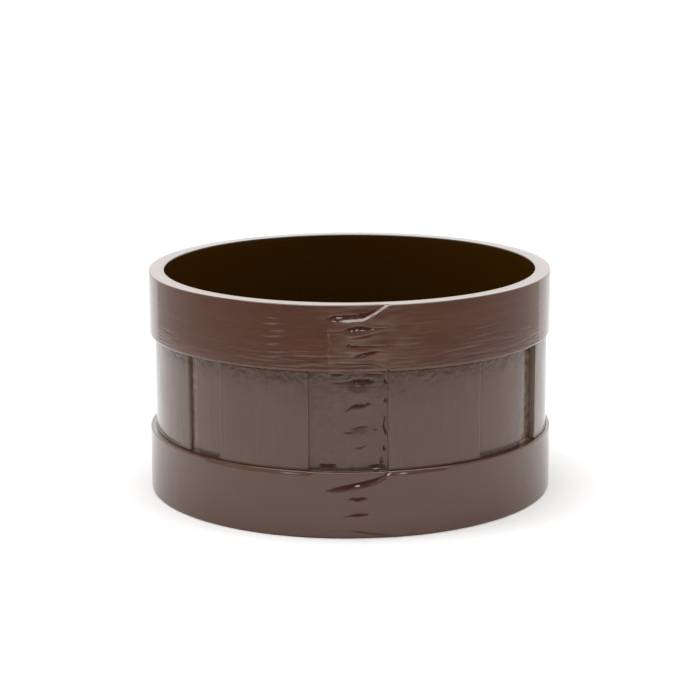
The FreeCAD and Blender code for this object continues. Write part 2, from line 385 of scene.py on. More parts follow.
def rounded_profile(inner, outer, low, high, foot_round, head_round, rows, inner_rows):
    """Closed profile of a band as rows of (radius, height, share of relief, edge wear)."""
    turn = np.linspace(0.0, 0.5 * math.pi, ROUNDING_ROWS)
    points = []
    for angle in turn:
        radius = outer - foot_round * (1 - math.sin(angle))
        points.append((radius, low + foot_round * (1 - math.cos(angle)), 1.0, 1.0))
    for height in np.linspace(low + foot_round, high - head_round, rows)[1:-1]:
        points.append((outer, height, 1.0, 0.0))
    for angle in turn:
        radius = outer - head_round * (1 - math.cos(angle))
        points.append((radius, high - head_round * (1 - math.sin(angle)), 1.0, 1.0))
    flat = outer - head_round
    for share in (0.04, 0.33, 0.67, 0.95, 0.995):
        points.append((flat + (inner - flat) * share, high, 1.0 - share, 0.0))
    for height in np.linspace(high - HAIR, low, inner_rows):
        points.append((inner, height, 0.0, 0.0))
    flat = outer - foot_round
    for share in (0.33, 0.67):
        points.append((inner + (flat - inner) * share, low, share, 0.0))
    return np.array(points)


def ring_piece(name, angles, profile, relief, material, node):
    """Sweep a closed profile round the axis and move its face by the relief.

    relief(angles, heights) gives the move outwards in millimetres and the coat's marks: the pooled
    colour (pooled coat with painted shade), painted shade, edge wear and the bare tint (partly
    painted reflection); the profile's third column says how much each row follows the move.
    """
    columns = angles[:, None]
    heights = profile[None, :, 1]
    move, drawn = relief((columns + 180.0) % 360.0 - 180.0, heights)
    share = profile[None, :, 2]
    radii = profile[None, :, 0] + share * move
    turn = np.radians(columns)
    places = np.stack(
        np.broadcast_arrays(radii * np.sin(turn), -radii * np.cos(turn), heights), axis=-1
    )
    shape = radii.shape
    marks = {
        "pool_and_shade": np.broadcast_to(drawn["pool_and_shade"] * share, shape),
        "shade": np.broadcast_to(drawn["shade"] * share, shape),
        "edge": np.broadcast_to(np.maximum(profile[None, :, 3], drawn["edge"] * share), shape),
        "bare_and_sheen": np.broadcast_to(drawn["bare_and_sheen"] * share, shape),
        "inside": np.broadcast_to(profile[None, :, 0] < WALL_RADIUS - 1.0, shape),
    }
    count, rows = shape
    index = np.arange(count * rows).reshape(shape)
    along = np.roll(index, -1, axis=0)
    faces = np.stack(
        [index, along, np.roll(along, -1, axis=1), np.roll(index, -1, axis=1)], axis=-1
    )
    mesh = bpy.data.meshes.new(name)
    mesh.from_pydata((places.reshape(-1, 3) * MM).tolist(), [], faces.reshape(-1, 4).tolist())
    for mark, values in marks.items():
        store(mesh, mark, values)
    mesh.polygons.foreach_set("use_smooth", np.ones(len(mesh.polygons), dtype=bool))
    mesh.materials.append(material)
    mesh.update()
    return add_piece(name, mesh, [node])


def store(mesh, label, values):
    """Store a number on every vertex of a mesh."""
    stored = mesh.attributes.new(label, "FLOAT", "POINT")
    stored.data.foreach_set("value", np.ascontiguousarray(values, dtype=np.float32).ravel())


def add_object(name, content):
    """Put a mesh or a camera in the scene."""
    made = bpy.data.objects.new(name, content)
    bpy.context.scene.collection.objects.link(made)
    return made


def add_piece(name, mesh, nodes):
    """Put a finished mesh in the scene to stand for its CAD nodes."""
    piece = add_object(name, mesh)
    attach(piece, ROOT)
    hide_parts(*nodes)
    return piece


def stroke(angles, heights, radius, path, half_width, blunt=0.25):
    """1 along a drawn line of (angle, height) points, fading across it and to its ends."""
    across = arc_mm(angles, radius)
    corners = [(arc_mm(angle, radius), height) for angle, height in path]
    lengths = [math.dist(*pair) for pair in zip(corners, corners[1:])]
    drawn = np.zeros(np.broadcast(angles, heights).shape)
    covered = 0.0
    for (x0, y0), (x1, y1), length in zip(corners, corners[1:], lengths):
        share = ((across - x0) * (x1 - x0) + (heights - y0) * (y1 - y0)) / length**2
        share = np.clip(share, 0.0, 1.0)
        gap = np.hypot(across - x0 - share * (x1 - x0), heights - y0 - share * (y1 - y0))
        reach = (covered + share * length) / sum(lengths)
        width = half_width * (blunt + (1.0 - blunt) * np.sin(math.pi * reach))
        drawn = np.maximum(drawn, np.exp(-((gap / width) ** 2.6)))
        covered += length
    return drawn


def slit(angles, heights, path, reach, flat=0.0):
    """Share of a slit's depth: sharp along its upper edge, sloping out over `reach` below.

    path gives the upper edge as (angle, height) points; flat is the share of the reach
    that stays at full depth.
    """
    start, end = path[0][0], path[-1][0]
    share = np.clip((angles - start) / (end - start), 0.0, 1.0)
    opened = np.sin(math.pi * share) ** 0.7
    below = np.interp(angles, *zip(*path)) - heights
    width = np.maximum(reach * opened, 0.01)
    slope = np.clip((width - below) / (width * (1.0 - flat)), 0.0, 1.0)
    return step(below, 0.06) * slope * opened


# ------------------------------------------------------------------ the hoops


# Edges of the tongues: angles, then heights.
TOP_UPPER_EDGE = (
    [-6.2, -4.0, 0.0, 3.6, 5.0, 6.7, 10.3, 12.0],
    [74.4, 74.5, 74.75, 75.1, 75.9, 77.1, 80.0, 81.8],
)
TOP_LOWER_EDGE = ([-6.2, 5.5, 7.6, 8.9, 10.2, 11.2], [60.4, 60.3, 59.8, 59.1, 58.1, 56.4])
BOTTOM_UPPER_EDGE = (
    [-6.8, -3.0, 1.7, 4.4, 6.6, 9.0, 10.8, 12.5],
    [16.4, 16.5, 17.5, 18.2, 19.0, 20.6, 22.8, 26.0],
)
BOTTOM_LOWER_EDGE = ([-6.0, 1.6, 10.5, 13.0], [2.9, 2.8, 0.9, -1.0])

# Grooves the tongue's edge closes from below: upper edge, reach, depth (mm).
TOP_GROOVES = [([(-6.6, 75.8), (-4.0, 76.9), (0.0, 77.0), (4.0, 77.2), (7.6, 78.6)], 3.8, 0.90)]
BOTTOM_GROOVES = [
    ([(-6.9, 16.7), (-3.0, 18.2), (1.7, 19.5), (6.6, 20.9), (9.4, 22.3), (11.0, 23.4)], 2.5, 1.10)
]
# Slits: upper edge, reach, depth (mm), share of the pooled colour (pooled coat and painted shade).
TOP_SLITS = [
    (
        [(-1.8, 71.8), (-0.2, 72.5), (1.6, 72.95), (3.4, 72.9), (5.2, 72.6), (6.8, 72.4)],
        2.0,
        0.95,
        1.0,
    ),
    ([(4.6, 72.4), (9.8, 72.3)], 0.6, 0.30, 0.7),
    ([(-6.8, 71.2), (-1.0, 71.5)], 0.6, 0.22, 0.6),
    ([(-0.4, 68.9), (3.2, 69.7), (8.6, 71.0)], 1.0, 0.22, 0.7),
    ([(-1.4, 66.5), (-0.2, 67.1), (2.4, 67.0), (3.6, 66.6)], 1.6, 0.78, 1.0),
    ([(1.4, 66.5), (6.0, 66.4), (9.6, 66.2)], 0.7, 0.35, 0.8),
    ([(0.6, 62.6), (3.0, 63.7), (5.0, 64.4), (8.0, 64.7)], 1.5, 0.72, 1.0),
    (
        [(-7.0, 60.4), (5.5, 60.3), (7.6, 59.8), (8.9, 59.1), (10.2, 58.1), (11.0, 57.2)],
        0.55,
        0.40,
        0.4,
    ),
]
BOTTOM_SLITS = [
    ([(-0.8, 14.0), (0.6, 14.5), (1.6, 14.2), (3.0, 14.6), (4.8, 14.2)], 1.3, 0.62, 1.0),
    ([(-0.4, 8.3), (1.4, 8.8), (3.0, 9.1), (5.0, 8.7)], 1.3, 0.62, 1.0),
    ([(-2.4, 7.7), (1.2, 8.5)], 0.4, 0.25, 0.7),
    ([(-1.0, 2.9), (1.6, 2.8), (11.5, 0.8)], 0.70, 0.35, 0.4),
]
# Bark under the coat: lower end, upper end, lift (mm).
TOP_SWELLS = [(68.8, 70.8, 0.12), (63.6, 65.4, 0.12)]
BOTTOM_SWELLS = [(9.4, 13.0, 0.06)]
# Angles over which a band's tail end thins out under the tongue.
TAIL_SPAN = (LAP_START - 6.0, 9.0)
# Half width of the swell over the bark (mm).
SWELL_REACH = 3.4
# Softness of the tongue's tip and of its lower edge (mm).
TIP_SOFT, EDGE_SOFT = 0.16, 0.12
# Ridges of coat inside the grooves and slits: (angle, crest), (half length, flank), lift (mm).
# Below its crest a ridge falls away within BEAD_FOOT.
BEAD_FOOT = 0.2
TOP_BEADS = [
    ((-2.8, 75.40), (2.1, 0.75), 0.62),
    ((1.6, 75.80), (2.2, 0.50), 0.28),
    ((1.9, 71.30), (0.65, 0.60), 0.34),
    ((0.6, 71.20), (0.40, 0.50), 0.28),
    ((3.3, 71.30), (0.45, 0.50), 0.28),
]
BOTTOM_BEADS = [
    ((1.8, 17.95), (1.3, 0.85), 0.48),
    ((6.1, 19.10), (0.8, 0.60), 0.25),
    ((9.3, 21.20), (1.4, 0.85), 0.32),
]
# Places where the coat is rubbed thin: points of (angle, height) and half width (mm).
TOP_RUBS = [
    ([(-15.6, 63.0), (-15.2, 69.0), (-15.6, 76.5)], 1.7),
    ([(5.4, 64.0), (8.2, 64.6)], 0.7),
    ([(8.4, 60.9), (10.4, 60.4)], 0.7),
]
# Heights of the short level brush marks left of the rim's seam.
BRUSH_MARKS = (75.2, 73.2, 70.9, 68.9, 66.3, 63.6, 62.0)


def bead(angles, heights, radius, place, size, lift):
    """A small ridge of pooled coat: a straight flank above its crest, drawn out as an oval.

    place is (angle, height of the crest); size is (half length, height of the flank) in mm.
    """
    along = arc_mm(angles - place[0], radius) / size[0]
    opened = np.sqrt(np.clip(1.0 - along**2, 0.0, 1.0))
    above = (heights - place[1]) / np.where(heights > place[1], size[1], -BEAD_FOOT)
    return lift * opened * np.clip(1.0 - above, 0.0, 1.0)


def lapped_surface(angles, heights, radius, lap):
    """Relief of a stitched lap: thinned tail, tongue over it, slits, and bark under the coat.

    Returns the move outwards (mm) and the coat's marks.
    """
    lower_edge, upper_edge = (np.interp(angles, *edge) for edge in lap["edges"])
    move = -lap["tail"] * ease(angles, *TAIL_SPAN) * np.ones(heights.shape)
    pool_and_shade = np.zeros(move.shape)
    edge = np.zeros(move.shape)
    patchy = 1.0 + 0.30 * unevenness(angles, heights, radius, (0.9, 1.4), lap["seed"])
    # Grooves take the pooled colour: pooled coat, and painted shade in them.
    for path, reach, depth in lap["grooves"]:
        mark = slit(angles, heights, path, reach, flat=lap["flat"])
        move = np.minimum(move, -depth * (0.7 + 0.3 * patchy) * mark)
        pool_and_shade = np.maximum(pool_and_shade, np.minimum(1.0, 2.0 * mark))
    rough_tip = 0.14 * np.sin(heights * 0.9) + 0.05 * np.sin(heights * 2.7)
    tip = step(arc_mm(angles - LAP_START, radius) + rough_tip, TIP_SOFT)
    ramp = np.clip((upper_edge - heights) / lap["ramp"] + 0.5, 0.0, 1.0)
    tongue = ramp * step(heights - lower_edge, EDGE_SOFT) * tip
    move = move * (1.0 - tongue) + 0.05 * tongue * (1.0 - ease(angles, LAP_START + 1.0, 4.0))
    pool_and_shade = pool_and_shade * (1.0 - tongue)
    middle = 0.5 * (BARK_LEFT + BARK_RIGHT)
    for low, high, lift in lap["swells"]:
        across = arc_mm(angles - middle, radius) / SWELL_REACH
        up = (heights - 0.5 * (low + high)) / (0.5 * (high - low))
        move = move + lift * np.exp(-(across**4)) * np.exp(-(up**2))
    # Slits take the pooled colour: pooled coat, and painted shade in them.
    for path, reach, depth, pooled_and_shaded in lap["slits"]:
        mark = slit(angles, heights, path, reach)
        move = move - depth * patchy * mark
        pool_and_shade = np.maximum(pool_and_shade, pooled_and_shaded * np.clip(3.2 * mark - 0.1, 0.0, 1.0))
    for place, size, lift in lap["beads"]:
        move = move + bead(angles, heights, radius, place, size, lift)
    for path, half_width in lap["rubs"]:
        edge = np.maximum(edge, stroke(angles, heights, radius, path, half_width))
    unmarked = np.zeros(move.shape)
    return move, {"pool_and_shade": pool_and_shade, "edge": edge, "shade": unmarked, "bare_and_sheen": unmarked}


def bent_grain(angles, heights, radius, amount, seed):
    """Fine wavy ridges that run round a bent board, stronger in some places."""
    level = heights + 0.7 * unevenness(angles, heights, radius, (22.0, 14.0), seed)
    ridges = unevenness(angles, level, radius, (11.0, 0.95), seed + 1)
    fine = unevenness(angles, level, radius, (6.0, 0.5), seed + 2)
    fade = ease(unevenness(angles, heights, radius, (16.0, 7.0), seed + 3), -0.45, 0.35)
    return amount * (ridges + 0.4 * fine) * (0.4 + 0.6 * fade)


def top_hoop_relief(angles, heights):
    """Relief and marks of the hoop at the rim."""
    lap = {
        "edges": (TOP_LOWER_EDGE, TOP_UPPER_EDGE),
        "tail": 1.15,
        "ramp": 1.1,
        "flat": 0.9,
        "grooves": TOP_GROOVES,
        "slits": TOP_SLITS,
        "swells": TOP_SWELLS,
        "rubs": TOP_RUBS,
        "beads": TOP_BEADS,
        "seed": 31,
    }
    move, drawn = lapped_surface(angles, heights, TOP_RADIUS, lap)
    move = move - 0.10 + 0.08 * unevenness(angles, heights, TOP_RADIUS, (60.0, 40.0), 1)
    calm = 1.0 - 0.75 * np.exp(-(((angles + 42.0) / 16.0) ** 4))
    move = move + bent_grain(angles, heights, TOP_RADIUS, 0.026, 2) * calm
    for number, height in enumerate(BRUSH_MARKS):
        left = -22.4 - 1.1 * math.sin(2.3 * number)
        right = -18.2 + 0.9 * math.sin(4.1 * number)
        path = [(left, height), (right, height + 0.5)]
        move = move + 0.05 * stroke(angles, heights, TOP_RADIUS, path, 0.55, 0.1)
    # Over the lap the coat was wiped thinner, in strokes along the band.
    on_tongue = ease(angles, LAP_START - 0.2, LAP_START + 0.6)
    above_it = ease(heights, 73.6, 75.6)
    wiped = on_tongue + above_it * (ease(angles, -14.0, 0.0) - on_tongue)
    wiped = wiped * (1.0 - ease(angles, 8.0, 24.0))
    strokes = 0.18 + 0.34 * unevenness(angles, heights, TOP_RADIUS, (5.0, 1.3), 19)
    drawn["bare_and_sheen"] = wiped * np.clip(strokes, 0.0, 1.0) * (1.0 - drawn["pool_and_shade"])
    # Painted shade along the hoop's lower edge, over the slats.
    dusky = 0.5 * (1.0 - ease(heights, TOP_FOOT + 0.6, TOP_FOOT + 2.6))
    drawn["shade"] = np.broadcast_to(dusky, move.shape)
    return move, drawn


def bottom_hoop_relief(angles, heights):
    """Relief and marks of the hoop at the foot."""
    lap = {
        "edges": (BOTTOM_LOWER_EDGE, BOTTOM_UPPER_EDGE),
        "tail": 0.32,
        "ramp": 0.35,
        "flat": 0.0,
        "grooves": BOTTOM_GROOVES,
        "slits": BOTTOM_SLITS,
        "swells": BOTTOM_SWELLS,
        "rubs": [],
        "beads": BOTTOM_BEADS,
        "seed": 32,
    }
    move, drawn = lapped_surface(angles, heights, BOTTOM_RADIUS, lap)
    blemish = stroke(angles, heights, BOTTOM_RADIUS, [(-51.0, 12.0), (-51.0, 21.0)], 0.5, 0.1)
    move = move + 0.06 * blemish - 0.10
    # On both sides of the seam the head is pared to an uneven chamfer.
    chamfer = ease(angles, -46.0, -34.0) * (1.0 - ease(angles, -13.5, -9.5))
    chamfer = chamfer + ease(angles, 8.6, 10.6) * (1.0 - ease(angles, 16.0, 30.0))
    chamfer = chamfer * (1.05 + 0.4 * unevenness(angles, heights, BOTTOM_RADIUS, (5.0, 60.0), 9))
    move = move - 0.60 * chamfer * np.clip((heights - BOTTOM_HEAD + 1.2) / 0.72, 0.0, 1.0)
    move = move + 0.08 * unevenness(angles, heights, BOTTOM_RADIUS, (60.0, 40.0), 7)
    move = move + bent_grain(angles, heights, BOTTOM_RADIUS, 0.006, 8)
    return move, drawn


# ------------------------------------------------------------- the inner wall


# Degrees: the narrowest gap that counts, and how far a span runs on under the slats.
GAP_LEAST, GAP_MARGIN = 1.0, 1.0


def bare_gaps():
    """Spans of angle where the wall shows between slats, without the one that holds the seam."""
    slats = OUTER_SLATS + INNER_SLATS
    slats = sorted(((start + 180.0) % 360.0 - 180.0, arc) for start, arc, _ in slats)
    starts = [start for start, _ in slats]
    gaps = []
    for (start, arc), following in zip(slats, starts[1:] + [starts[0] + 360.0]):
        holds_seam = start < LAP_START < following
        if following - start - arc > GAP_LEAST and not holds_seam:
            gaps.append((start + arc - GAP_MARGIN, following + GAP_MARGIN))
    return gaps


# Coat run into the corners, and how far it reaches: a share of the slat's thickness beside
# each slat, and millimetres above the hoop at the foot.
SLAT_FILLET, SLAT_FILLET_REACH = 0.30, 0.45
FOOT_FLARE, FOOT_FLARE_REACH = 0.6, 0.2
# The wall's tongue keeps the wall's full height.
EVERYWHERE_ABOVE = ([-180.0, 180.0], [200.0, 200.0])
EVERYWHERE_BELOW = ([-180.0, 180.0], [-200.0, -200.0])
WALL_SLITS = [
    ([(-0.6, 53.5), (0.6, 54.3), (3.0, 54.5), (5.0, 54.3), (7.0, 53.8)], 2.2, 1.05, 1.0),
    ([(-4.6, 53.2), (1.0, 53.8)], 0.6, 0.30, 0.8),
    ([(-0.6, 44.6), (0.8, 45.7), (2.6, 46.2), (6.0, 46.5)], 1.7, 0.80, 1.0),
    ([(-1.8, 43.6), (0.8, 45.0)], 0.5, 0.30, 0.5),
    ([(0.2, 37.5), (3.0, 38.4), (5.8, 38.5)], 0.5, 0.22, 0.35),
    ([(-1.8, 36.4), (0.8, 36.3)], 0.6, 0.18, 0.35),
    ([(5.6, 37.2), (8.0, 37.4)], 0.6, 0.18, 0.35),
    ([(0.4, 31.3), (2.8, 31.0), (5.2, 32.4)], 0.6, 0.32, 0.45),
    ([(-9.0, 24.8), (-6.6, 24.6), (-3.6, 24.8)], 1.0, 0.60, 1.0),
    ([(4.6, 24.2), (10.2, 24.6)], 0.9, 0.60, 1.0),
    ([(-5.6, 56.5), (-1.8, 56.2)], 0.8, 0.40, 1.0),
    ([(3.8, 56.3), (9.6, 56.1)], 0.7, 0.40, 1.0),
]
WALL_SWELLS = [(46.8, 52.4, 0.16), (32.6, 37.0, 0.20)]
WALL_BEADS = [
    ((2.3, 52.55), (1.0, 0.60), 0.36),
    ((4.6, 52.60), (0.5, 0.40), 0.24),
]
# Flecks of the pooled colour (pooled coat and painted shade) along the seam's right side: points,
# half width, depth (mm).
WALL_FLECKS = [
    ([(9.9, 41.4), (9.6, 38.4), (10.0, 35.4)], 0.45, 0.45),
    ([(9.6, 31.6), (9.4, 29.8)], 0.45, 0.40),
    ([(9.0, 27.4), (8.4, 25.0)], 0.50, 0.40),
    ([(9.8, 54.6), (9.9, 52.8)], 0.40, 0.35),
    ([(10.0, 48.4), (9.8, 46.4)], 0.35, 0.30),
]


def wall_relief(angles, heights):
    """Relief and marks of the wall where it shows between slats."""
    lap = {
        "edges": (EVERYWHERE_BELOW, EVERYWHERE_ABOVE),
        "tail": 0.16,
        "ramp": 1.0,
        "flat": 0.0,
        "grooves": [],
        "slits": WALL_SLITS,
        "swells": WALL_SWELLS,
        "rubs": [],
        "beads": WALL_BEADS,
        "seed": 33,
    }
    move, drawn = lapped_surface(angles, heights, WALL_RADIUS, lap)
    for path, half_width, depth in WALL_FLECKS:
        mark = stroke(angles, heights, WALL_RADIUS, path, half_width)
        move = move - depth * mark
        drawn["pool_and_shade"] = np.maximum(drawn["pool_and_shade"], mark)
    along_tip = arc_mm(angles - LAP_START, WALL_RADIUS)
    broken = 0.6 + unevenness(angles, heights, WALL_RADIUS, (2.0, 2.4), 15)
    move = move + 0.12 * broken * np.exp(-(((along_tip + 0.1) / 0.32) ** 2)) - 0.07
    scuff = unevenness(angles, heights, WALL_RADIUS, (2.6, 2.0), 16)
    fleck = unevenness(angles, heights, WALL_RADIUS, (1.2, 1.0), 17)
    top_band = ease(heights, TOP_FOOT - 6.0, TOP_FOOT - 1.0)
    foot_band = 1.0 - ease(heights, BOTTOM_HEAD + 0.6, BOTTOM_HEAD + 3.5)
    busy = 0.30 + 0.7 * np.maximum(top_band, foot_band)
    move = move + (0.050 * scuff + 0.030 * fleck) * busy
    move = move + bent_grain(angles, heights, WALL_RADIUS, 0.010, 18)
    bare_and_sheen = np.zeros(move.shape)
    # Between slats the wall takes the lighter bare tint: thin coat, and painted reflection that
    # lightens the gaps the slats leave dark.
    for left, right in bare_gaps():
        bare_and_sheen = bare_and_sheen + (angles > left) * (angles < right) * (0.35 + 0.5 * scuff)
    for start, arc, thickness in OUTER_SLATS + INNER_SLATS:
        for side, edge_angle in ((-1.0, start), (1.0, start + arc)):
            away = side * arc_mm((angles - edge_angle + 180.0) % 360.0 - 180.0, WALL_RADIUS)
            near = np.exp(-np.maximum(away, 0.0) / SLAT_FILLET_REACH)
            near = near * (away > -1.5) * (away < 6.0)
            move = move + SLAT_FILLET * thickness * near
    move = move + FOOT_FLARE * np.exp(-abs(heights - BOTTOM_HEAD) / FOOT_FLARE_REACH)
    # Painted shade in mottles under the top hoop and above the foot hoop, where the wall meets
    # them.
    drawn["shade"] = np.clip(busy + 0.4 * scuff, 0.0, 1.0)
    drawn["bare_and_sheen"] = bare_and_sheen
    return move, drawn


def wall_profile():
    """Rows of the bent wall's closed outline, close together where it shows."""
    round_mm = 0.4
    shown_low, shown_high = BOTTOM_HEAD - 1.0, TOP_FOOT + 1.0
    points = [(WALL_RADIUS, 0.0, 0.0, 0.0), (WALL_RADIUS, shown_low, 0.0, 0.0)]
    for height in np.linspace(shown_low, shown_high, 110)[1:-1]:
        points.append((WALL_RADIUS, height, 1.0, 0.0))
    points.append((WALL_RADIUS, shown_high, 0.0, 0.0))
    points.append((WALL_RADIUS + HAIR, RIM_HEIGHT - 0.5, 0.0, 0.0))
    points.append((WALL_RADIUS + HAIR, RIM_HEIGHT - HAIR, 0.0, 0.0))
    for share in (0.01, 0.05, 0.35, 0.65, 0.97):
        flat = BORE_RADIUS + round_mm - WALL_RADIUS
        points.append((WALL_RADIUS + share * flat, RIM_HEIGHT, 0.0, 0.0))
    for angle in np.linspace(0.0, 0.5 * math.pi, 7):
        radius = BORE_RADIUS + round_mm * (1 - math.sin(angle))
        points.append((radius, RIM_HEIGHT - round_mm * (1 - math.cos(angle)), 0.0, 1.0))
    for height in np.linspace(RIM_HEIGHT - round_mm, 0.0, 40)[1:]:
        points.append((BORE_RADIUS, height, 0.0, 0.0))
    return np.array(points)


# ------------------------------------------------------------------ the slats


def growth_tree(name, wanted):
    """A geometry tree with a number input for every wanted value, and its input node."""
    tree = bpy.data.node_groups.new(name, "GeometryNodeTree")
    tree.interface.new_socket("Geometry", in_out="INPUT", socket_type="NodeSocketGeometry")
    for label in wanted:
        tree.interface.new_socket(label, in_out="INPUT", socket_type="NodeSocketFloat")
    tree.interface.new_socket("Finish", in_out="INPUT", socket_type="NodeSocketMaterial")
    tree.interface.new_socket("Geometry", in_out="OUTPUT", socket_type="NodeSocketGeometry")
    g = Graph(tree)
    return tree, g, g.node("NodeGroupInput", output="Geometry")


def end_growth(g, grown, finish):
    """Smooth, realize and paint what a tree has grown, and hand it out."""
    smooth = {"Geometry": grown, "Shade Smooth": True}
    grown = g.node("GeometryNodeSetShadeSmooth", inputs=smooth)
    grown = g.node("GeometryNodeRealizeInstances", inputs={"Geometry": grown})
    grown = g.node("GeometryNodeSetMaterial", inputs={"Geometry": grown, "Material": finish})
    g.node("NodeGroupOutput", inputs={"Geometry": grown})


# Share of the crowding of rows towards a slat's edges.
CROWDING = 0.55
# Per metre of height: how fast a slat's foot flare dies out.
FLARE_DECAY = 6500.0
# Per metre: how often a slat's edges and its foot waver.
SIDE_WAVER, FOOT_WAVER = 420.0, 180.0
# Per metre across and up: the grain, broad swells, the painted shade band's ragged edge and its
# flecks.
GRAIN_RATE = (560.0, 45.0)
SWELL_RATE = (60.0, 60.0)
RAGGED_RATE = (260.0, 200.0)
FLECK_RATE = (800.0, 700.0)


def slat_tree(name, foot, head, inner, round_mm, steps, wander_mm, seed):
    """Geometry nodes that grow a slat from every vertex of the piece they are put on.

    foot, head, inner, round_mm and wander_mm are in millimetres; steps is (columns, rows).
    """
    wanted = {
        "Foot": foot * MM,
        "Head": head * MM,
        "Inner Radius": inner * MM,
        "Edge Rounding": round_mm * MM,
        "Edge Wander": wander_mm * MM,
        "Foot Flare": 0.0003,
        "Grain Relief": 0.00007,
        "Seed": float(seed),
    }
    tree, g, given = growth_tree(name, wanted)
    size = {label: given.other(label) for label in wanted}

    rows = {"Vertices X": steps[0], "Vertices Y": 3, "Vertices Z": steps[1]}
    block = g.node("GeometryNodeMeshCube", inputs={"Size": (1.0, 1.0, 1.0), **rows})
    position = g.node("GeometryNodeInputPosition")
    block = g.node(
        "GeometryNodeStoreNamedAttribute",
        {"data_type": "FLOAT_VECTOR", "domain": "POINT"},
        {"Geometry": block, "Name": "own", "Value": position},
    )
    grown = g.node("GeometryNodeInstanceOnPoints", inputs={"Points": given, "Instance": block})
    grown = g.node("GeometryNodeRealizeInstances", inputs={"Geometry": grown})

    def stored(label, kind="FLOAT"):
        return g.node("GeometryNodeInputNamedAttribute", {"data_type": kind}, {"Name": label})

    own = g.node("ShaderNodeSeparateXYZ", inputs={"Vector": stored("own", "FLOAT_VECTOR")})
    across_raw, out_raw, up_raw = own + 0.5, 0.5 - own.other("Y"), own.other("Z") + 0.5

    def crowd(share):
        """Draw rows towards both ends of the 0 to 1 span."""
        bent = 0.5 - 0.5 * (share * math.pi).maths("COSINE")
        return share * (1.0 - CROWDING) + bent * CROWDING

    across, up = crowd(across_raw), crowd(up_raw)
    labels = ("start", "arc", "thickness", "number")
    start, arc, thickness, number = (stored(label) for label in labels)
    radius = size["Inner Radius"]
    length = arc * radius
    rise = size["Head"] - size["Foot"]
    height = size["Foot"] + up * rise

    def noise(x, y, z, detail=2.0):
        vector = g.node("ShaderNodeCombineXYZ", inputs={"X": x, "Y": y, "Z": z})
        sockets = {"Vector": vector, "Scale": 1.0, "Detail": detail, "Roughness": 0.55}
        return g.node("ShaderNodeTexNoise", inputs=sockets) - 0.5

    def speckle(rate, lane, detail=2.0):
        return noise(across * length * rate[0], height * rate[1], lane, detail)

    lane = number * 7.31 + size["Seed"]
    wander = size["Edge Wander"]
    left_wander = noise(height * SIDE_WAVER, lane, 0.5) * wander * (1.0 - across)
    right_wander = noise(height * SIDE_WAVER, lane, 9.5) * wander * across
    end_wander = noise(across * length * FOOT_WAVER, lane, 3.5) * wander * (1.0 - up) * 1.2
    angle = start + across * arc + (left_wander + right_wander) / radius

    def corner(distance):
        """How far the face falls away within the rounding distance of an edge."""
        share = g.node("ShaderNodeClamp", inputs={"Value": 1.0 - distance / size["Edge Rounding"]})
        return 1.0 - (1.0 - share * share) ** 0.5

    fall = (
        corner(across * length)
        + corner((1.0 - across) * length)
        + corner((1.0 - up) * rise)
    )
    fall = fall.maths("MINIMUM", fall, 1.0) * size["Edge Rounding"]
    grain = speckle(GRAIN_RATE, lane, detail=4.0) * size["Grain Relief"]
    swell = speckle(SWELL_RATE, lane + 40.0) * 0.00025
    ragged = speckle(RAGGED_RATE, lane + 80.0, detail=3.0)
    # Painted shade: a ragged dark band at the slat's head, under the top hoop.
    dusky = {"Value": up + ragged * 0.35, "From Min": 0.80, "From Max": 1.0}
    dusk = g.node("ShaderNodeMapRange", inputs=dusky)
    fleck = speckle(FLECK_RATE, lane + 120.0) * (dusk + 0.12) * 0.00022
    flare = (up * rise * -FLARE_DECAY).maths("EXPONENT") * size["Foot Flare"]
    out = radius + out_raw * (thickness - fall + grain + swell + fleck + flare)
    target = {
        "X": out * angle.maths("SINE"),
        "Y": out * angle.maths("COSINE") * -1.0,
        "Z": height + end_wander,
    }
    target = g.node("ShaderNodeCombineXYZ", inputs=target)
    grown = g.node("GeometryNodeSetPosition", inputs={"Geometry": grown, "Position": target})
    worn = (fall / size["Edge Rounding"]) * out_raw
    # Slat sides take the lighter bare tint: cut wood, and painted reflection that lightens the
    # sides left dark beside the wall.
    cut = g.node("ShaderNodeClamp", inputs={"Value": 2.0 - out_raw * 2.0})
    for label, value in (("edge", worn), ("shade", dusk * out_raw), ("bare_and_sheen", cut)):
        grown = g.node(
            "GeometryNodeStoreNamedAttribute",
            {"data_type": "FLOAT", "domain": "POINT"},
            {"Geometry": grown, "Name": label, "Value": value},
        )
    end_growth(g, grown, given.other("Finish"))
    return tree, wanted


def grow_on(name, mesh, tree, wanted, material, nodes):
    """Run a tree on a mesh and keep the result as one plain mesh."""
    holder = add_object(mesh.name, mesh)
    modifier = holder.modifiers.new("growth", "NODES")
    modifier.node_group = tree
    given = {**wanted, "Finish": material}
    for item in tree.interface.items_tree:
        if item.item_type == "SOCKET" and item.in_out == "INPUT" and item.name in given:
            modifier[item.identifier] = given[item.name]
    evaluated = holder.evaluated_get(bpy.context.evaluated_depsgraph_get())
    result = bpy.data.meshes.new_from_object(evaluated)
    bpy.data.objects.remove(holder)
    result.name = name
    return add_piece(name, result, nodes)


# Rounding of a slat's edges, and how far its head runs into the hoop above to leave no gap (mm).
SLAT_ROUND = 0.6
SLAT_TUCK = 0.25


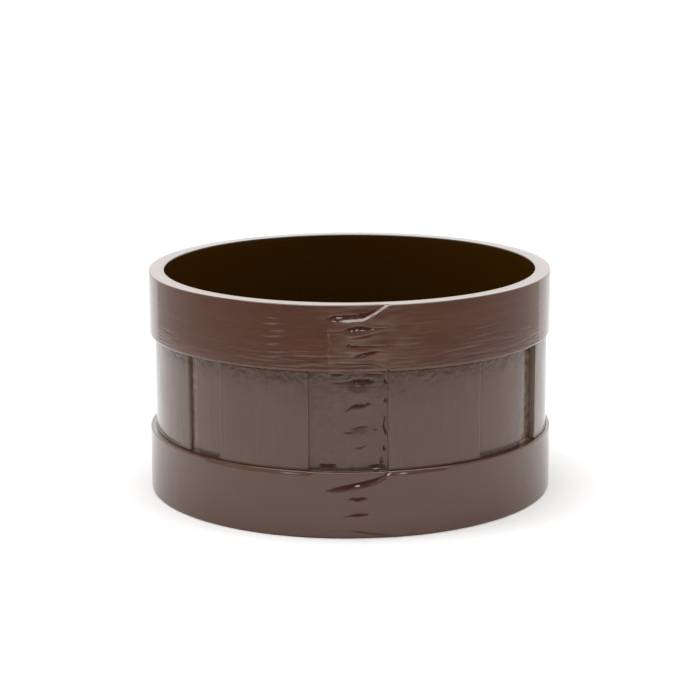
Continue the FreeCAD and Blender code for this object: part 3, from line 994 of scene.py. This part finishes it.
def slat_ring(name, slats, lift, steps, wander, seed, nodes):
    """All slats of one kind."""
    foot, head = BOTTOM_HEAD + lift, TOP_FOOT + SLAT_TUCK
    tree, wanted = slat_tree(
        f"{name}_growth", foot, head, WALL_RADIUS, SLAT_ROUND, steps, wander, seed
    )
    starts, arcs, thicknesses = (np.array(column) for column in zip(*slats))
    seeds = {
        "start": np.radians(starts),
        "arc": np.radians(arcs),
        "thickness": thicknesses * MM,
        "number": np.arange(len(slats)),
    }
    mesh = bpy.data.meshes.new(f"{name}_seeds")
    mesh.from_pydata([(0.0, 0.0, 0.0)] * len(slats), [], [])
    for label, values in seeds.items():
        store(mesh, label, values)
    return grow_on(name, mesh, tree, wanted, SLAT_LACQUER, nodes)


# ----------------------------------------------------------- the bark strips


# Reach of a strip past a slit and past its last slits (mm).
SLIT_STEP = 0.35
STRIP_END = 1.2


def strip_tree():
    """Geometry nodes that sweep a flat strip along the path they are put on."""
    wanted = {
        "Width": math.radians(BARK_RIGHT - BARK_LEFT) * WALL_RADIUS * MM,
        "Thickness": 0.75 * BARK_THICKNESS * MM,
        "Bend": 0.35 * MM,
    }
    tree, g, given = growth_tree("bark_strip", wanted)
    path = g.node("GeometryNodeMeshToCurve", inputs={"Mesh": given})
    path = g.node(
        "GeometryNodeFilletCurve",
        {"mode": "POLY"},
        {"Curve": path, "Radius": given.other("Bend"), "Count": 4},
    )
    outline = g.node(
        "GeometryNodeCurvePrimitiveQuadrilateral",
        {"mode": "RECTANGLE"},
        {"Width": given.other("Width"), "Height": given.other("Thickness")},
    )
    outline = g.node(
        "GeometryNodeFilletCurve",
        {"mode": "POLY"},
        {"Curve": outline, "Radius": 0.4 * given.other("Thickness"), "Count": 3},
    )
    swept = {"Curve": path, "Profile Curve": outline, "Fill Caps": True}
    end_growth(g, g.node("GeometryNodeCurveToMesh", inputs=swept), given.other("Finish"))
    return tree, wanted


def bark_strip(name, tree, wanted, slits, face, back, node):
    """A strip that goes in and out of a lap through level slits, listed from the foot up."""
    turn = math.radians(0.5 * (BARK_LEFT + BARK_RIGHT))
    path = [(back, slits[0] - STRIP_END)]
    for number, height in enumerate(slits):
        goes_out = number % 2 == 0
        near, far = (back, face) if goes_out else (face, back)
        path.append((near, height - SLIT_STEP))
        path.append((far, height + SLIT_STEP))
    path.append((path[-1][0], slits[-1] + STRIP_END))
    mesh = bpy.data.meshes.new(f"{name}_path")
    corners = [Vector((math.sin(turn) * r, -math.cos(turn) * r, z)) * MM for r, z in path]
    mesh.from_pydata(corners, [(n, n + 1) for n in range(len(corners) - 1)], [])
    return grow_on(name, mesh, tree, wanted, BARK_LACQUER, [node])


# ------------------------------------------------------------------ the build


top_columns = seam_columns(0.8, 0.2, -14.0, 18.0)
wall_columns = seam_columns(1.0, 0.22, -13.0, 15.0)
ring_piece(
    "top_hoop_band",
    top_columns,
    rounded_profile(WALL_RADIUS, TOP_RADIUS, TOP_FOOT, RIM_HEIGHT, 1.0, 0.45, 124, 5),
    top_hoop_relief,
    HOOP_LACQUER,
    "top_hoop",
)
ring_piece(
    "bottom_hoop_band",
    top_columns,
    rounded_profile(WALL_RADIUS, BOTTOM_RADIUS, 0.0, BOTTOM_HEAD, 0.8, 0.5, 124, 5),
    bottom_hoop_relief,
    FOOT_LACQUER,
    "bottom_hoop",
)
ring_piece(
    "bent_wall",
    wall_columns,
    wall_profile(),
    wall_relief,
    WALL_LACQUER,
    "core_wall",
)
slat_ring("outer_slats", OUTER_SLATS, 0.15, (80, 70), 0.30, 3, OUTER_SLAT_NODES)
slat_ring("inner_slats", INNER_SLATS, 1.4, (60, 70), 0.35, 5, INNER_SLAT_NODES)

# Each lap's bark: heights of its slits, radius of its outer and of its inner runs, its CAD node.
BARK_SINK = 0.45
BARK_STRIPS = {
    "top_bark": (
        [61.2, 63.4, 66.1, 71.8],
        TOP_RADIUS - BARK_SINK,
        WALL_RADIUS + 0.9,
        "top_hoop_bark_lacing",
    ),
    "wall_bark": (
        [31.2, 37.6, 45.4, 53.4],
        WALL_RADIUS - BARK_SINK,
        BORE_RADIUS + 0.6,
        "core_wall_bark_lacing",
    ),
    "foot_bark": (
        [8.3, 13.8],
        BOTTOM_RADIUS - BARK_SINK,
        WALL_RADIUS + 0.9,
        "bottom_hoop_bark_lacing",
    ),
}
bark_tree, bark_sizes = strip_tree()
for strip_name, (slits, face, back, node_name) in BARK_STRIPS.items():
    bark_strip(strip_name, bark_tree, bark_sizes, slits, face, back, node_name)

for node_name, material in (("base_board", BOARD_LACQUER), ("base_pegs", PEG_WOOD)):
    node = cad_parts[node_name]
    node.data.materials.clear()
    node.data.materials.append(material)


# ------------------------------------------------------------ light and camera


WORLD_GLOW, BACKDROP_GLOW, SOFTBOX_GLOW = 0.55, 1.75, 7.5
WORLD_WHITE = (0.985, 0.99, 1.0, 1.0)
SOFTBOX_WHITE = (1.0, 0.99, 0.98, 1.0)
SCREEN_WHITE = (1.0, 0.99, 0.975, 1.0)
FLOOR_REACH = 8.0
FLOOR_GREY = (0.73, 0.73, 0.735, 1.0)
SCREEN_PANELS = 60


def add_to_stage(name, mesh, shader, inputs):
    """Put a mesh of the studio in the scene; inputs(graph) gives its shader's values."""
    material, g = new_material(name)
    surface(g, shader, inputs(g))
    mesh.materials.append(material)
    added = add_object(name, mesh)
    return added


def level_plane(name, left, right, front, back, height, shader, inputs):
    """A rectangle at one height, its sides in metres."""
    corners = [(left, front), (right, front), (right, back), (left, back)]
    mesh = bpy.data.meshes.new(name)
    mesh.from_pydata([(x, y, height) for x, y in corners], [], [(0, 1, 2, 3)])
    return add_to_stage(name, mesh, shader, lambda g: inputs)


def soft_box(name, left, right, front, back, height):
    """A glowing rectangle overhead."""
    glow = {"Color": SOFTBOX_WHITE, "Strength": SOFTBOX_GLOW}
    return level_plane(name, left, right, front, back, height, "ShaderNodeEmission", glow)


def curved_screen(name, radius, height, left, right, front_glow, back_glow):
    """A glowing upright screen round the piece, from azimuth left to right (0 is the front).

    Its glow goes from front_glow at the front to back_glow at the back.
    """
    azimuths = np.linspace(left, right, SCREEN_PANELS + 1)
    corners = []
    glows = []
    for azimuth in azimuths:
        turn = math.radians(azimuth)
        share = (1.0 - math.cos(turn)) / 2.0
        for z in (0.0, height):
            corners.append((radius * math.sin(turn), -radius * math.cos(turn), z))
            glows.append(front_glow + (back_glow - front_glow) * share)
    faces = [(2 * n, 2 * n + 2, 2 * n + 3, 2 * n + 1) for n in range(SCREEN_PANELS)]
    mesh = bpy.data.meshes.new(name)
    mesh.from_pydata(corners, [], faces)
    store(mesh, "glow", glows)
    return add_to_stage(
        name,
        mesh,
        "ShaderNodeEmission",
        lambda g: {"Color": SCREEN_WHITE, "Strength": g.attribute("glow")},
    )


world = bpy.data.worlds.new("studio")
bpy.context.scene.world = world
world.use_nodes = True
sky = Graph(world.node_tree)
glow = sky.node("ShaderNodeBackground", inputs={"Color": WORLD_WHITE, "Strength": WORLD_GLOW})
sky.node("ShaderNodeOutputWorld", inputs={"Surface": glow})
bpy.context.scene.view_settings.view_transform = "Standard"

level_plane(
    "studio_floor",
    -FLOOR_REACH,
    FLOOR_REACH,
    -FLOOR_REACH,
    FLOOR_REACH,
    0.0,
    "ShaderNodeBsdfPrincipled",
    {"Base Color": FLOOR_GREY, "Roughness": 0.9},
)
curved_screen("backdrop", 1.6, 1.3, -180.0, 180.0, 1.0, BACKDROP_GLOW)
dim_room = curved_screen("dim_room", 0.307, 0.50, -128.0, 124.0, 0.25, 1.0)
softbox = soft_box("overhead_softbox", -0.90, 0.60, -0.25, 0.22, 1.0)
gleam = soft_box("front_softbox", -0.60, 0.40, -0.75, -0.28, 1.0)
# The dim room and the front softbox show in reflections only.
for hidden in (dim_room, softbox, gleam):
    hidden.visible_camera = False
for ray in ("diffuse", "shadow", "transmission", "volume_scatter"):
    setattr(dim_room, f"visible_{ray}", False)
    setattr(gleam, f"visible_{ray}", False)

CAMERA_DISTANCE = 0.7876
CAMERA_ELEVATION = math.radians(13.36)
CAMERA_ROLL = math.radians(-0.24)
FOCAL_LENGTH = 110.88
AIM_LIFT = math.radians(0.6192)
AIM_TURN = math.radians(0.0053)
camera_data = bpy.data.cameras.new("camera")
camera_data.lens = FOCAL_LENGTH
camera_data.sensor_width = 36.0
camera = add_object("camera", camera_data)
middle = Vector((0.0, 0.0, 0.5 * RIM_HEIGHT * MM))
back = Vector((0.0, -math.cos(CAMERA_ELEVATION), math.sin(CAMERA_ELEVATION)))
camera.location = middle + CAMERA_DISTANCE * back
camera.rotation_mode = "QUATERNION"
aim = (-back).to_track_quat("-Z", "Y")
for axis, angle in (((1, 0, 0), AIM_LIFT), ((0, 1, 0), -AIM_TURN), ((0, 0, 1), CAMERA_ROLL)):
    aim = aim @ Quaternion(axis, angle)
camera.rotation_quaternion = aim
bpy.context.scene.camera = camera
